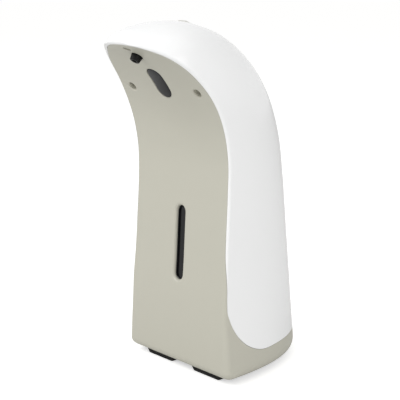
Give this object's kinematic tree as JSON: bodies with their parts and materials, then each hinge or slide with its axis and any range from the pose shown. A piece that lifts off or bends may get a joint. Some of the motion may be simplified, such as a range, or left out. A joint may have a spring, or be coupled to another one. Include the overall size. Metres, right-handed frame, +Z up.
{
  "type": "automatic soap dispenser",
  "caption": "Tall free-standing automatic soap dispenser with a curved white shell, a grey front panel under an overhanging tip, a sensor window, a spout and a level slot.",
  "frame": {"origin": "on the floor under the middle of the body", "axes": "+Z up, front panel and nozzle tip towards -Y, +X to the right seen from the front"},
  "size_m": [0.0822, 0.1226, 0.19],
  "materials": {
    "grey_shell": "satin silver-grey moulding",
    "white_shell": "smooth glossy white moulding",
    "smoked_window": "dark smoked, polished",
    "dark_rubber": "moulded, dull",
    "black_plastic": "fine matt texture",
    "grey_cap": "soft touch, dull",
    "clear_tank": "frosted, clear",
    "inner_plastic": "plain moulding",
    "gear_plastic": "waxy natural acetal",
    "soft_silicone": "milky, smooth",
    "steel_parts": "plated",
    "brass_parts": "machined",
    "circuit_board": "green solder mask",
    "clear_lamp": "clear, polished",
    "dark_lamp": "near-black, polished",
    "cell_skin": "printed foil wrap",
    "cable_skin": "flat ribbon, satin"
  },
  "bodies": {
    "housing": {"front_cover": "grey_shell", "rear_cover": "white_shell", "screw_plug_left": "grey_shell", "screw_plug_right": "grey_shell", "cover_screw_left": "steel_parts", "cover_screw_right": "steel_parts", "cover_screw_tip": "steel_parts", "level_window": "smoked_window", "level_window_seal": "dark_rubber", "sensor_window": "smoked_window", "sensor_board": "circuit_board", "infrared_lamp": "clear_lamp", "infrared_eye": "dark_lamp", "status_light": "clear_lamp", "nozzle": "black_plastic", "nozzle_valve": "soft_silicone", "tank": "clear_tank", "base_plate": "black_plastic", "base_screw_front_left": "steel_parts", "base_screw_front_right": "steel_parts", "base_screw_rear_left": "steel_parts", "base_screw_rear_right": "steel_parts", "foot_front_left": "dark_rubber", "foot_front_right": "dark_rubber", "foot_rear_left": "dark_rubber", "foot_rear_right": "dark_rubber", "battery_tray": "inner_plastic", "battery_seal": "dark_rubber", "battery_cell_1": "cell_skin", "battery_cell_2": "cell_skin", "battery_cell_3": "cell_skin", "battery_cell_4": "cell_skin", "battery_contact_left": "steel_parts", "battery_contact_right": "steel_parts", "pump_housing": "inner_plastic", "pump_cover": "inner_plastic", "pump_hose": "soft_silicone", "gear_pin": "steel_parts", "motor": "steel_parts", "gear_deck": "inner_plastic", "suction_tube": "soft_silicone", "outlet_tube": "soft_silicone", "main_board": "circuit_board", "controller_chip": "black_plastic", "capacitor": "steel_parts", "sensor_cable": "cable_skin", "power_switch": "steel_parts", "switch_board": "circuit_board"},
    "fill_cap": {"fill_cap": "grey_cap", "fill_cap_seal": "dark_rubber"},
    "battery_door": {"battery_door": "black_plastic"},
    "power_slider": {"power_slider": "black_plastic"},
    "motor_shaft": {"motor_shaft": "steel_parts", "motor_pinion": "brass_parts"},
    "reduction_gear": {"reduction_gear": "gear_plastic"},
    "pump_rotor": {"pump_rotor": "gear_plastic", "rotor_gear": "gear_plastic"},
    "pump_roller_1": {"pump_roller_1": "gear_plastic"},
    "pump_roller_2": {"pump_roller_2": "gear_plastic"},
    "pump_roller_3": {"pump_roller_3": "gear_plastic"}
  },
  "joints": [
    {"name": "fill_cap_pull", "type": "slide", "parent": "housing", "child": "fill_cap", "axis": [0, 0.3207, 0.9472], "range_m": [0, 0.025]},
    {"name": "battery_door_hinge", "type": "hinge", "parent": "housing", "child": "battery_door", "pos_m": [0, -0.00325, 0.0044], "axis": [-1, 0, 0], "range_deg": [0, 80]},
    {"name": "power_slide", "type": "slide", "parent": "housing", "child": "power_slider", "axis": [1, 0, 0], "range_m": [-0.0025, 0.0025]},
    {"name": "pump_rotor_spin", "type": "hinge", "parent": "housing", "child": "pump_rotor", "pos_m": [0, 0.02296, 0.0238], "axis": [0, 0, 1], "continuous": true},
    {"name": "reduction_gear_spin", "type": "hinge", "parent": "housing", "child": "reduction_gear", "pos_m": [0, 0.03496, 0.03435], "axis": [0, 0, 1], "continuous": true},
    {"name": "motor_shaft_spin", "type": "hinge", "parent": "housing", "child": "motor_shaft", "pos_m": [0, 0.04746, 0.03435], "axis": [0, 0, 1], "continuous": true},
    {"name": "pump_roller_1_spin", "type": "hinge", "parent": "pump_rotor", "child": "pump_roller_1", "pos_m": [0, 0.03096, 0.0238], "axis": [0, 0, 1], "continuous": true},
    {"name": "pump_roller_2_spin", "type": "hinge", "parent": "pump_rotor", "child": "pump_roller_2", "pos_m": [-0.00693, 0.01896, 0.0238], "axis": [0, 0, 1], "continuous": true},
    {"name": "pump_roller_3_spin", "type": "hinge", "parent": "pump_rotor", "child": "pump_roller_3", "pos_m": [0.00693, 0.01896, 0.0238], "axis": [0, 0, 1], "continuous": true}
  ],
  "couplings": [
    {"joint": "reduction_gear_spin", "follows": "pump_rotor_spin", "ratio": -3},
    {"joint": "motor_shaft_spin", "follows": "pump_rotor_spin", "ratio": 12},
    {"joint": "pump_roller_1_spin", "follows": "pump_rotor_spin", "ratio": -3.6667},
    {"joint": "pump_roller_2_spin", "follows": "pump_rotor_spin", "ratio": -3.6667},
    {"joint": "pump_roller_3_spin", "follows": "pump_rotor_spin", "ratio": -3.6667}
  ]
}
